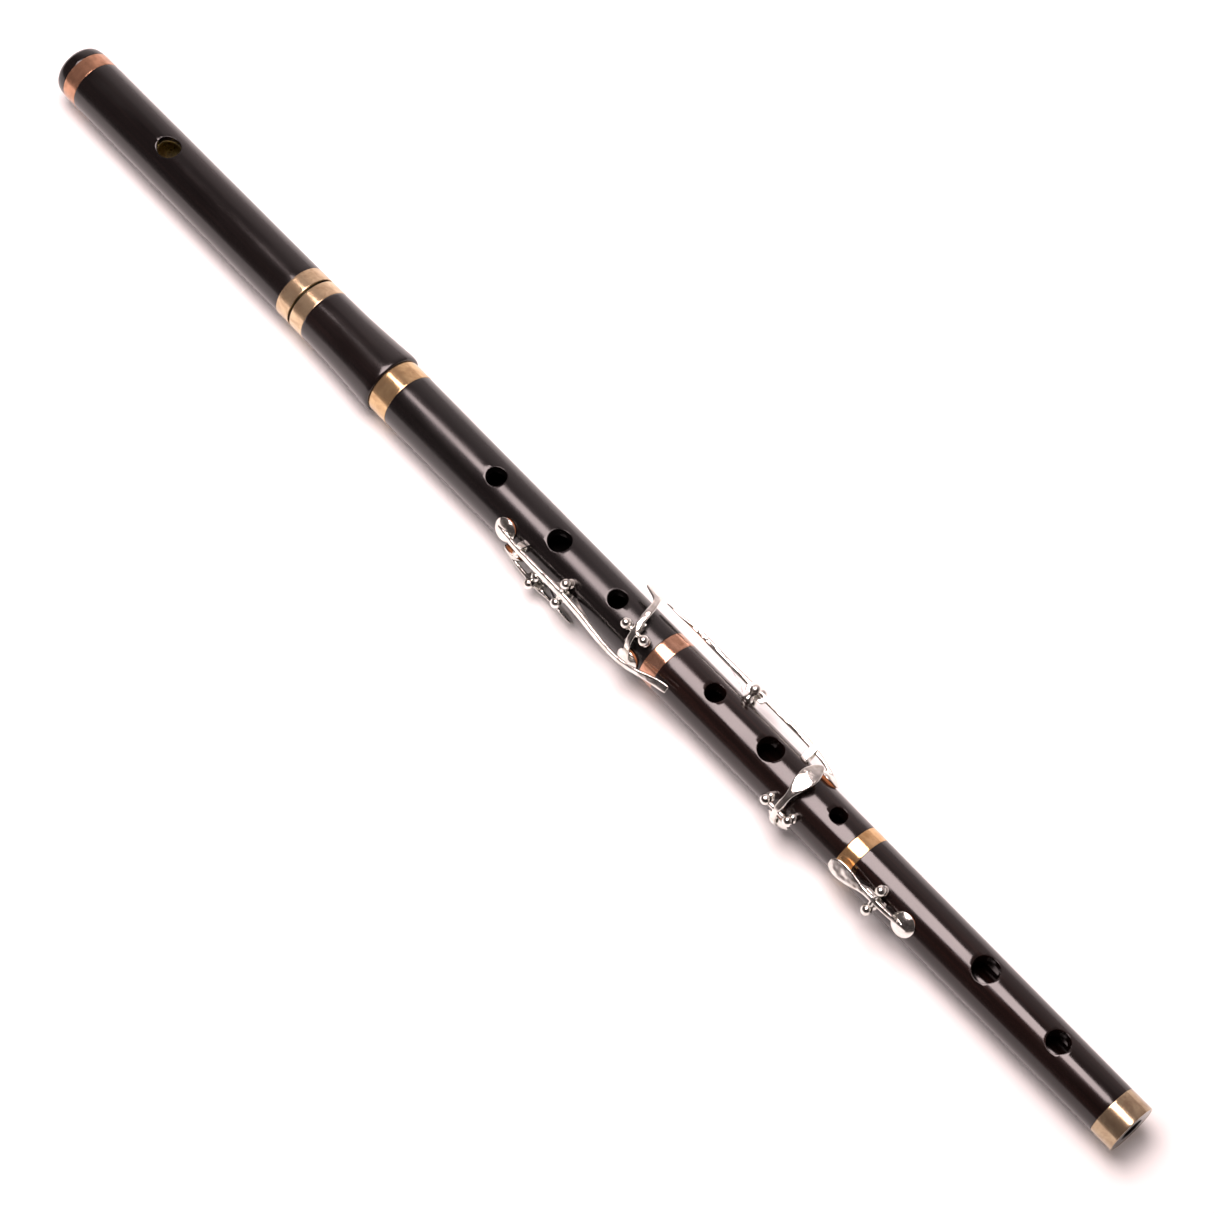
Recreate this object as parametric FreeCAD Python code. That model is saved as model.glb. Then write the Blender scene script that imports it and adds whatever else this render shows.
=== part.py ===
import FreeCAD, Part
import math
import os

# Six-key simple-system wooden concert flute in D, lying along X with its head at -X.
# Millimetres. Stations along the flute are measured from near the crown's end towards the foot.
# Turns about the flute are in degrees from straight up, positive towards +Y (the long F side).
# Every shape is made about its own centre line and moved to the flute's place at the end.

V = FreeCAD.Vector
OUT = "parts"

# Overall
LENGTH = 672.0         # station of the foot's end
AXIS_Y = -0.441        # the centre line's place across, which centres the keys' reach
LIP_R = 15.2           # barrel's lip, the thickest wood: the flute rests on it
AXIS_Z = LIP_R
SHOULDER_GAP = 0.1     # between the end faces of two sections
RUN = 0.05             # radial running clearance of tenons, slide and pivots

# Stations of the sections and rings
CROWN_TIP = -2.4
CROWN_TOP = 5.8
CROWN_RING_END = 13.7
CROWN_PLUG_END = 18.0
STOPPER = (34.0, 50.0)
EMBOUCHURE = 69.5
HEAD_RING = 160.5
HEAD_END = 168.4
BARREL_START = 169.9
BARREL_RING_END = 177.9
BARREL_STEP = 201.8    # end of the slide tube's room, start of the socket
BARREL_END = 224.8
LEFT_RING_END = 235.5
LEFT_END = 399.1
RIGHT_RING_END = 407.0
RIGHT_END = 515.4
FOOT_RING_END = 523.0
END_RING_START = 660.9
TENON = 22.0           # length of the two lower tenons
UPPER_TENON = 22.5

# Cork lappings: first and last station
CROWN_CORK = (8.0, 16.5)
UPPER_CORK = (205.0, 222.0)
MIDDLE_CORK = (401.9, 418.4)
LOWER_CORK = (518.2, 534.7)

# Outside radii
CROWN_R = 13.1
CROWN_TIP_R = 6.5      # flat of the crown's dome
CROWN_BEND = (-0.5, 11.9)   # a point on the dome's curve
HEAD_END_R = 13.35
BARREL_TOP_R = 13.4
LIP_EDGE_R = 14.4      # barrel's lip at its end face
LEFT_RING_R = 13.8
LEFT_TOP_R = 13.6
LEFT_END_R = 12.8
RIGHT_END_R = 12.3
FOOT_TOP_R = 12.3
FOOT_END_R = 11.4
RING_T = 0.9           # thickness of the metal rings
RING_PROUD = 0.05      # rings stand this far above the wood

# Barrel's swell: station and radius, from the ring to where the lip starts to turn in
SWELL = [(177.9, 13.4), (192.0, 13.6), (206.5, 14.25), (220.0, 15.05)]
LIP_TOP = 222.6        # station of its thickest place

# Bore radii
HEAD_BORE_R = 9.5
LINER_T = 0.8
LEFT_BORE_TOP_R = 9.2
LEFT_BORE_END_R = 7.2
RIGHT_BORE_END_R = 6.0
FOOT_BORE_R = 5.4
PEG_BORE = 32.0        # cylindrical end of the foot's bore
UPPER_TENON_R = 11.4
MIDDLE_TENON_R = 9.6
LOWER_TENON_R = 9.1
TENON_STEP = 0.15      # tenon's wood below its cork
CORK_T = 0.8
CROWN_PLUG_R = 8.6
STUD_R = 2.2           # stopper's threaded stud
STOPPER_PLATE = (8.6, 1.0)

# Tone holes: name, station, turn, radius
FINGER_HOLES = {
    "left": [(294.7, 0.0, 4.6), (335.5, 0.0, 5.3), (372.2, 0.0, 4.4)],
    "right": [(430.7, 7.0, 4.5), (464.3, 7.0, 5.75), (503.8, 9.5, 3.8)],
    "foot": [(589.7, 2.5, 5.85), (629.7, 3.0, 5.1)],
}
EMBOUCHURE_LONG_R = 5.9
EMBOUCHURE_ACROSS_R = 5.3
HOLE_FLOOR = 3.0       # hole cutters reach down to this height, inside the bore

# Keywork
POST_BALL_R = 2.45
POST_BEAD_R = 2.3
POST_BEAD_RISE = 0.9   # bead's middle above the wood
POST_WAIST_R = 1.35
POST_SHANK_R = 1.0
POST_DEPTH = 2.5
PIN_R = 0.6
HINGE_R = 1.1
CUP_R = 5.6
CUP_WALL = 0.5
CUP_RISE = 2.75        # cup's crown above the wood
CUP_ROOF = 1.9         # top of the pad's room above the wood, at its middle
CUP_ROOF_EDGE = 0.95   # and at its edge
CUP_LIFT = 0.45        # cup's rim above the wood
PAD_R = 4.95
SEAT_R = 5.2
PAD_GAP = 0.08         # pad's face above its seat
SIT = 0.02             # a fitting's foot above the wood
KEY_HOLE_R = 3.5
SPRING_T = 0.3
SPRING_W = 1.6
LUG_W = 2.7            # plate under a lever, which carries its hinge
LUG_HALF = (5.5, 4.6)  # half its length where it leaves the lever, and at its foot
LUG_DROP = (0.9, 3.0)  # how far those two lie below the pivot
SIDES = 16             # points round a lever's section
SQUARE = 0.55          # its squareness: 1 is an ellipse, 0 a rectangle
GUIDE_PRONG = 1.4
GUIDE_LENGTH = 3.3
GUIDE_FOOT = 0.8       # top of a guide's foot above the wood

# Pivots: station, turn, height above the centre line, distance between the two balls
C_PIVOT = (353.1, -58.5, 17.6, 11.2)
BB_PIVOT = (335.4, -122.0, 17.4, 11.2)
GS_PIVOT = (389.5, -20.5, 17.5, 10.8)
LF_PIVOT = (440.4, 70.0, 18.0, 11.1)
SF_PIVOT = (484.7, -57.0, 17.2, 12.9)
EB_PIVOT = (539.2, -49.0, 16.6, 10.9)

# Cups: station, turn
C_CUP = (313.9, -59.5)
BB_CUP = (319.3, -122.0)
GS_CUP = (392.4, -74.0)
LF_CUP = (487.3, 70.0)
SF_CUP = (485.0, -102.0)
EB_CUP = (553.7, -51.5)

# Guides: station, turn, half width of the slot, top of the prongs above the centre line
C_GUIDE = (325.6, -60.0, 1.8, 18.5)
LF_GUIDE = (474.6, 70.0, 1.45, 19.8)

BOXES = {}             # bounding box of each node, filled in by save()


def radius_between(s, start, end):
    """Radius at station s on the straight taper between two (station, radius) points."""
    share = (s - start[0]) / (end[0] - start[0])
    return start[1] + share * (end[1] - start[1])


def left_r(s):
    return radius_between(s, (LEFT_RING_END, LEFT_TOP_R), (LEFT_END, LEFT_END_R))


def right_r(s):
    return radius_between(s, (LEFT_END, LEFT_END_R), (RIGHT_END, RIGHT_END_R))


def foot_r(s):
    return radius_between(s, (RIGHT_END, FOOT_TOP_R), (LENGTH, FOOT_END_R))


def point(s, turn, r):
    """Point at station s, turned about the centre line, at radius r."""
    a = math.radians(turn)
    return V(s, r * math.sin(a), r * math.cos(a))


def turned(points):
    """Solid of revolution about the centre line from (station, radius) corners."""
    corners = [V(s, 0, r) for s, r in points]
    face = Part.Face(Part.makePolygon(corners + corners[:1]))
    return face.revolve(V(0, 0, 0), V(1, 0, 0), 360)


def tube(start, end, inner, outer):
    """Tube along the centre line."""
    return turned([(start, inner), (start, outer), (end, outer), (end, inner)])


def ring(start, end, outer, bevel):
    """Metal ring, its outer edges bevelled."""
    return turned([
        (start, outer - RING_T),
        (start, outer - bevel),
        (start + bevel, outer),
        (end - bevel, outer),
        (end, outer - bevel),
        (end, outer - RING_T),
    ])


def spin(shape, turn):
    """Turns a shape made at the top of the flute to its own turn."""
    out = shape.copy()
    out.rotate(V(0, 0, 0), V(1, 0, 0), -turn)
    return out


def drill(s, turn, radius, low, high):
    """Radial cylinder from radius low to radius high."""
    return spin(Part.makeCylinder(radius, high - low, V(s, 0, low), V(0, 0, 1)), turn)


def save(name, shape):
    """Moves a shape into the flute's frame and writes it."""
    placed = shape.copy()
    placed.translate(V(-(CROWN_TIP + LENGTH) / 2, AXIS_Y, AXIS_Z))
    if not placed.isValid():
        print("INVALID", name)
    placed.exportStep(f"{OUT}/{name}.step")
    BOXES[name] = placed.BoundBox


# ---- Wood, rings, linings and corks ------------------------------------------------------


def key_seat(s, turn, wood_r):
    """Cutter for a pad's flat seat, with the key's tone hole below it."""
    floor = seat_height(wood_r)
    return drill(s, turn, SEAT_R, floor, wood_r + 8).fuse(drill(s, turn, KEY_HOLE_R, HOLE_FLOOR, floor + 1))


def seat_height(wood_r):
    """Height of the flat seat's floor: as low as the wood falls away at its rim."""
    return math.sqrt(wood_r**2 - SEAT_R**2)


def post_places(pivot):
    """(station, turn, ball height) of the two posts of a pivot across the lever."""
    s, turn, height, apart = pivot
    lean = math.degrees(math.atan2(apart / 2, height))
    ball = math.hypot(apart / 2, height)
    return [(s, turn - lean, ball), (s, turn + lean, ball)]


def cross_post_places(pivot):
    """The same for a lever that runs across the flute, whose posts stand along it."""
    s, turn, height, apart = pivot
    return [(s - apart / 2, turn, height), (s + apart / 2, turn, height)]


def shank_hole(place, wood_r):
    s, turn, _ = place
    return drill(s, turn, POST_SHANK_R, wood_r - POST_DEPTH, wood_r + 2)


def head_pieces():
    wood = turned([
        (CROWN_TOP, HEAD_BORE_R + LINER_T),
        (CROWN_TOP, CROWN_R - RING_T),
        (CROWN_RING_END, CROWN_R - RING_T),
        (CROWN_RING_END, CROWN_R),
        (HEAD_RING, HEAD_END_R),
        (HEAD_RING, HEAD_END_R - RING_T),
        (HEAD_END, HEAD_END_R - RING_T),
        (HEAD_END, HEAD_BORE_R + LINER_T),
    ])
    liner = tube(CROWN_TOP, BARREL_STEP - 2.0, HEAD_BORE_R, HEAD_BORE_R + LINER_T)
    ellipse = Part.Ellipse(V(0, 0, 0), EMBOUCHURE_LONG_R, EMBOUCHURE_ACROSS_R).toShape()
    hole = Part.Face(Part.Wire(ellipse)).extrude(V(0, 0, CROWN_R + 2))
    hole.translate(V(EMBOUCHURE, 0, HOLE_FLOOR))
    save("head_joint", wood.cut(hole))
    save("head_liner", liner.cut(hole))
    save("crown_ring", ring(CROWN_TOP, CROWN_RING_END, CROWN_R + RING_PROUD, 0.15))
    save("head_ring", ring(HEAD_RING, HEAD_END, HEAD_END_R + RING_PROUD, 0.2))
    start, end = STOPPER
    plate_r, plate_t = STOPPER_PLATE
    plate = end + SHOULDER_GAP
    save("stopper_cork", tube(start, end, STUD_R, HEAD_BORE_R))
    save("stopper_plate", turned([
        (start - 6, 0),
        (start - 6, STUD_R),
        (plate, STUD_R),
        (plate, plate_r),
        (plate + plate_t, plate_r),
        (plate + plate_t, 0),
    ]))


def crown_pieces():
    """End cap: a domed wooden head on a plug lapped with cork."""
    end = CROWN_TOP - SHOULDER_GAP
    dome = Part.Arc(V(CROWN_TIP, 0, CROWN_TIP_R), V(CROWN_BEND[0], 0, CROWN_BEND[1]), V(end, 0, CROWN_R - 0.1))
    rest = Part.makePolygon([
        V(end, 0, CROWN_R - 0.1),
        V(end, 0, CROWN_PLUG_R),
        V(CROWN_PLUG_END, 0, CROWN_PLUG_R),
        V(CROWN_PLUG_END, 0, 0),
        V(CROWN_TIP, 0, 0),
        V(CROWN_TIP, 0, CROWN_TIP_R),
    ])
    outline = Part.Wire([dome.toShape()] + rest.Edges)
    save("head_crown", Part.Face(outline).revolve(V(0, 0, 0), V(1, 0, 0), 360))
    save("crown_cork", tube(*CROWN_CORK, CROWN_PLUG_R, HEAD_BORE_R - RUN))


def barrel_pieces():
    """Barrel: slide tube at the head end, socket at the other, swelling to a rounded lip."""
    slide_r = HEAD_BORE_R + LINER_T + RUN + LINER_T
    end = BARREL_END - SHOULDER_GAP
    swell = Part.BSplineCurve()
    swell.interpolate([V(s, 0, r) for s, r in SWELL])
    lip = Part.Arc(V(SWELL[-1][0], 0, SWELL[-1][1]), V(LIP_TOP, 0, LIP_R), V(end, 0, LIP_EDGE_R))
    rest = Part.makePolygon([
        V(end, 0, LIP_EDGE_R),
        V(end, 0, UPPER_TENON_R + RUN),
        V(BARREL_STEP, 0, UPPER_TENON_R + RUN),
        V(BARREL_STEP, 0, slide_r),
        V(BARREL_START, 0, slide_r),
        V(BARREL_START, 0, BARREL_TOP_R - RING_T),
        V(BARREL_RING_END, 0, BARREL_TOP_R - RING_T),
        V(BARREL_RING_END, 0, BARREL_TOP_R),
    ])
    outline = Part.Wire([swell.toShape(), lip.toShape()] + rest.Edges)
    save("barrel", Part.Face(outline).revolve(V(0, 0, 0), V(1, 0, 0), 360))
    save("barrel_liner", tube(BARREL_START, BARREL_STEP, slide_r - LINER_T, slide_r))
    save("barrel_ring", ring(BARREL_START, BARREL_RING_END, BARREL_TOP_R + RING_PROUD, 0.2))


def tenon(root, end, outer, cork):
    """Corners of a tenon's outside from its root to its end, with a groove for the cork."""
    first, last = cork
    groove = outer - CORK_T
    wood = outer - TENON_STEP
    return [(root, wood), (first, wood), (first, groove), (last, groove), (last, wood), (end, wood)]


def left_pieces():
    """Left-hand joint: the part with the first three finger holes and three keys."""
    top = BARREL_END - UPPER_TENON
    low = LEFT_END + TENON
    upper = tenon(BARREL_END, top, UPPER_TENON_R, UPPER_CORK[::-1])
    lower = tenon(LEFT_END, low, MIDDLE_TENON_R, MIDDLE_CORK)
    outside = upper[::-1] + [
        (BARREL_END, LEFT_RING_R - RING_T),
        (LEFT_RING_END, LEFT_RING_R - RING_T),
        (LEFT_RING_END, LEFT_TOP_R),
        (LEFT_END, LEFT_END_R),
    ] + lower
    wood = turned(outside + [(low, LEFT_BORE_END_R), (top, LEFT_BORE_TOP_R)])
    cuts = [drill(s, turn, r, HOLE_FLOOR, 18) for s, turn, r in FINGER_HOLES["left"]]
    cuts += [key_seat(s, turn, left_r(s)) for s, turn in (C_CUP, BB_CUP, GS_CUP)]
    places = post_places(C_PIVOT) + post_places(BB_PIVOT) + cross_post_places(GS_PIVOT)
    cuts += [shank_hole(place, left_r(place[0])) for place in places]
    cuts.append(shank_hole(C_GUIDE[:3], left_r(C_GUIDE[0])))
    save("left_hand_joint", wood.cut(cuts))
    save("left_hand_ring", ring(BARREL_END, LEFT_RING_END, LEFT_RING_R, 0.25))
    save("upper_tenon_cork", tube(*UPPER_CORK, UPPER_TENON_R - CORK_T, UPPER_TENON_R))
    save("middle_tenon_cork", tube(*MIDDLE_CORK, MIDDLE_TENON_R - CORK_T, MIDDLE_TENON_R))


def right_pieces():
    """Right-hand joint: the part with the last three finger holes and the two F keys."""
    start = LEFT_END + SHOULDER_GAP
    socket = LEFT_END + TENON + 0.4
    low = RIGHT_END + TENON
    lower = tenon(RIGHT_END, low, LOWER_TENON_R, LOWER_CORK)
    wood = turned([
        (start, MIDDLE_TENON_R + RUN),
        (start, LEFT_END_R - RING_T),
        (RIGHT_RING_END, LEFT_END_R - RING_T),
        (RIGHT_RING_END, right_r(RIGHT_RING_END)),
        (RIGHT_END, RIGHT_END_R),
    ] + lower + [
        (low, RIGHT_BORE_END_R),
        (socket, LEFT_BORE_END_R),
        (socket, MIDDLE_TENON_R + RUN),
    ])
    cuts = [drill(s, turn, r, HOLE_FLOOR, 18) for s, turn, r in FINGER_HOLES["right"]]
    cuts += [key_seat(s, turn, right_r(s)) for s, turn in (LF_CUP, SF_CUP)]
    places = post_places(LF_PIVOT) + cross_post_places(SF_PIVOT)
    cuts += [shank_hole(place, right_r(place[0])) for place in places]
    cuts.append(shank_hole(LF_GUIDE[:3], right_r(LF_GUIDE[0])))
    save("right_hand_joint", wood.cut(cuts))
    save("right_hand_ring", ring(start, RIGHT_RING_END, LEFT_END_R, 0.1))
    save("lower_tenon_cork", tube(*LOWER_CORK, LOWER_TENON_R - CORK_T, LOWER_TENON_R))


def foot_pieces():
    """Foot joint: the Eb key's hole and two open vent holes."""
    start = RIGHT_END + SHOULDER_GAP
    socket = RIGHT_END + TENON + 0.4
    wood = turned([
        (start, LOWER_TENON_R + RUN),
        (start, FOOT_TOP_R - RING_T),
        (FOOT_RING_END, FOOT_TOP_R - RING_T),
        (FOOT_RING_END, foot_r(FOOT_RING_END)),
        (END_RING_START, foot_r(END_RING_START)),
        (END_RING_START, FOOT_END_R - RING_T),
        (LENGTH, FOOT_END_R - RING_T),
        (LENGTH, FOOT_BORE_R),
        (LENGTH - PEG_BORE, FOOT_BORE_R),
        (socket, RIGHT_BORE_END_R),
        (socket, LOWER_TENON_R + RUN),
    ])
    cuts = [drill(s, turn, r, HOLE_FLOOR, 18) for s, turn, r in FINGER_HOLES["foot"]]
    cuts.append(key_seat(EB_CUP[0], EB_CUP[1], foot_r(EB_CUP[0])))
    cuts += [shank_hole(place, foot_r(place[0])) for place in post_places(EB_PIVOT)]
    save("foot_joint", wood.cut(cuts))
    save("foot_ring", ring(start, FOOT_RING_END, FOOT_TOP_R + RING_PROUD, 0.15))
    save("foot_end_ring", ring(END_RING_START, LENGTH, FOOT_END_R + RING_PROUD, 0.25))


# ---- Keywork ------------------------------------------------------------------------------


def wood_below(s, wood_r):
    """The wood under a fitting: what stands on it is cut to this curve, a hair clear of it."""
    return Part.makeCylinder(wood_r + SIT, 20, V(s - 10, 0, 0), V(1, 0, 0))


def post(place, wood_r):
    """Turned post: shank in the wood, bead on the surface, waist and ball."""
    s, turn, ball = place
    bead = wood_r + POST_BEAD_RISE
    shape = Part.makeCylinder(POST_SHANK_R, POST_DEPTH + 0.5, V(s, 0, wood_r - POST_DEPTH), V(0, 0, 1))
    shape = shape.fuse(Part.makeSphere(POST_BEAD_R, V(s, 0, bead)))
    shape = shape.fuse(Part.makeCylinder(POST_WAIST_R, ball - bead, V(s, 0, bead), V(0, 0, 1)))
    shape = shape.fuse(Part.makeSphere(POST_BALL_R, V(s, 0, ball)))
    below = wood_below(s, wood_r).cut(Part.makeCylinder(POST_SHANK_R, 30, V(s, 0, 0), V(0, 0, 1)))
    return spin(shape.cut(below), turn)


def pivot_line(pivot, cross):
    """Middle point and direction of a pivot."""
    s, turn, height, _ = pivot
    a = math.radians(turn)
    direction = V(1, 0, 0) if cross else V(0, math.cos(a), -math.sin(a))
    return point(s, turn, height), direction


def rod_on(pivot, cross, radius, length):
    middle, direction = pivot_line(pivot, cross)
    return Part.makeCylinder(radius, length, middle - direction * (length / 2), direction)


def save_posts(name, pivot, cross, wood):
    """Two posts as one node, and the pivot screw that they hold. wood gives the wood's radius."""
    places = cross_post_places(pivot) if cross else post_places(pivot)
    length = pivot[3] + 2 * POST_BALL_R - 0.8
    pin = rod_on(pivot, cross, PIN_R, length)
    posts = [post(place, wood(place[0])).cut(pin) for place in places]
    save(name + "_posts", Part.makeCompound(posts))
    middle, direction = pivot_line(pivot, cross)
    save(name + "_pivot", pin.cut(drive_slot(middle + direction * (length / 2), direction)))


def drive_slot(end, direction):
    """Screwdriver slot across the end of a pivot screw."""
    slot = Part.makeBox(4, 0.3, 0.7, V(-2, -0.15, -0.35))
    slot.Placement = FreeCAD.Placement(end, FreeCAD.Rotation(V(0, 0, 1), direction))
    return slot


def section(centre, across, up, width, thick):
    """Closed outline of a lever: between an ellipse and a rectangle."""
    ring = []
    for i in range(SIDES):
        a = 2 * math.pi * i / SIDES
        x = math.copysign(abs(math.cos(a)) ** SQUARE, math.cos(a)) * width / 2
        y = math.copysign(abs(math.sin(a)) ** SQUARE, math.sin(a)) * thick / 2
        ring.append(centre + across * x + up * y)
    loop = Part.BSplineCurve()
    loop.interpolate(Points=ring, PeriodicFlag=True)
    return Part.Wire(loop.toShape())


def lever(stations, cross):
    """Lofts a lever through (station, turn, height, width, thickness) sections.
    Sections lie across the flute, or along it for a lever that runs round the flute."""
    rings = []
    for s, turn, r, width, thick in stations:
        a = math.radians(turn)
        up = V(0, math.sin(a), math.cos(a))
        across = V(1, 0, 0) if cross else V(0, math.cos(a), -math.sin(a))
        rings.append(section(point(s, turn, r), across, up, width, thick))
    return Part.makeLoft(rings, True, False)


def lug(pivot, cross):
    """Plate under a lever with sloped ends, through which the pivot passes."""
    s, turn, height, _ = pivot
    top, foot = LUG_HALF
    high = height - LUG_DROP[0]
    low = height - LUG_DROP[1]
    outline = [(-top, high), (-foot, low), (foot, low), (top, high)]
    if cross:
        corners = [V(s - LUG_W / 2, along, z) for along, z in outline]
        way = V(LUG_W, 0, 0)
    else:
        corners = [V(s + along, -LUG_W / 2, z) for along, z in outline]
        way = V(0, LUG_W, 0)
    face = Part.Face(Part.makePolygon(corners + corners[:1]))
    return spin(face.extrude(way), turn)


def cup(place, wood_r):
    """Domed cup over its pad."""
    s, turn = place
    rim = wood_r + CUP_LIFT
    top = wood_r + CUP_RISE
    inner = CUP_R - CUP_WALL
    arc = Part.Arc(V(CUP_R, 0, rim + 0.5), V(CUP_R * 0.66, 0, top - 0.55), V(0, 0, top))
    rest = Part.makePolygon([
        V(0, 0, top), V(0, 0, wood_r + CUP_ROOF), V(inner, 0, wood_r + CUP_ROOF_EDGE), V(inner, 0, rim),
        V(CUP_R, 0, rim), V(CUP_R, 0, rim + 0.5),
    ])
    face = Part.Face(Part.Wire([arc.toShape()] + rest.Edges))
    shape = face.revolve(V(0, 0, 0), V(0, 0, 1), 360)
    shape.translate(V(s, 0, 0))
    return spin(shape, turn)


def pad(place, wood_r):
    """Leather pad: flat on its seat, rounded, and filling the cup."""
    s, turn = place
    bottom = seat_height(wood_r) + PAD_GAP
    inner = CUP_R - CUP_WALL
    corners = [
        (0, bottom), (PAD_R - 0.9, bottom), (PAD_R - 0.2, bottom + 0.35), (PAD_R, bottom + 1.0),
        (inner, wood_r + CUP_LIFT), (inner, wood_r + CUP_ROOF_EDGE), (0, wood_r + CUP_ROOF),
    ]
    outline = [V(x, 0, z) for x, z in corners]
    face = Part.Face(Part.makePolygon(outline + outline[:1]))
    shape = face.revolve(V(0, 0, 0), V(0, 0, 1), 360)
    shape.translate(V(s, 0, 0))
    return spin(shape, turn)


def spring(stations, cross):
    """Flat spring under a lever: a thin strip through (station, turn, height) points."""
    rings = []
    for s, turn, r in stations:
        a = math.radians(turn)
        up = V(0, math.sin(a), math.cos(a))
        across = V(1, 0, 0) if cross else V(0, math.cos(a), -math.sin(a))
        middle = point(s, turn, r)
        corners = [
            middle + across * (x * SPRING_W / 2) + up * (z * SPRING_T / 2)
            for x, z in ((-1, -1), (1, -1), (1, 1), (-1, 1))
        ]
        rings.append(Part.makePolygon(corners + corners[:1]))
    return Part.makeLoft(rings, True, False)


def save_key(name, pivot, cross, cup_place, wood_r, lever_stations, spring_stations):
    """A key's lever with its cup and hinge tube, its pad and its spring."""
    hinge_length = pivot[3] - 2 * POST_BALL_R - 0.3
    body = lever(lever_stations, cross)
    body = body.fuse([lug(pivot, cross), rod_on(pivot, cross, HINGE_R, hinge_length)])
    body = body.fuse(cup(cup_place, wood_r))
    leather = pad(cup_place, wood_r)
    leaf = spring(spring_stations, cross)
    save(name + "_lever", body.cut([rod_on(pivot, cross, PIN_R + RUN, 30), leather, leaf]))
    save(name + "_pad", leather)
    save(name + "_spring", leaf)


def guide(name, place, wood_r):
    """Saddle with two round-topped prongs, between which a long lever moves."""
    s, turn, half, top = place
    start = s - GUIDE_LENGTH / 2
    width = 2 * (half + GUIDE_PRONG)
    shape = Part.makeBox(GUIDE_LENGTH, width, wood_r + GUIDE_FOOT - 8, V(start, -width / 2, 8))
    round_r = GUIDE_LENGTH / 2
    for y in (-half - GUIDE_PRONG, half):
        prong = Part.makeBox(GUIDE_LENGTH, GUIDE_PRONG, top - round_r - 12, V(start, y, 12))
        cap = Part.makeCylinder(round_r, GUIDE_PRONG, V(s, y, top - round_r), V(0, 1, 0))
        shape = shape.fuse([prong, cap])
    shape = shape.cut(wood_below(s, wood_r))
    shank = Part.makeCylinder(POST_SHANK_R, POST_DEPTH + 0.4, V(s, 0, wood_r - POST_DEPTH), V(0, 0, 1))
    save(name, spin(shape.fuse(shank), turn))


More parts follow.
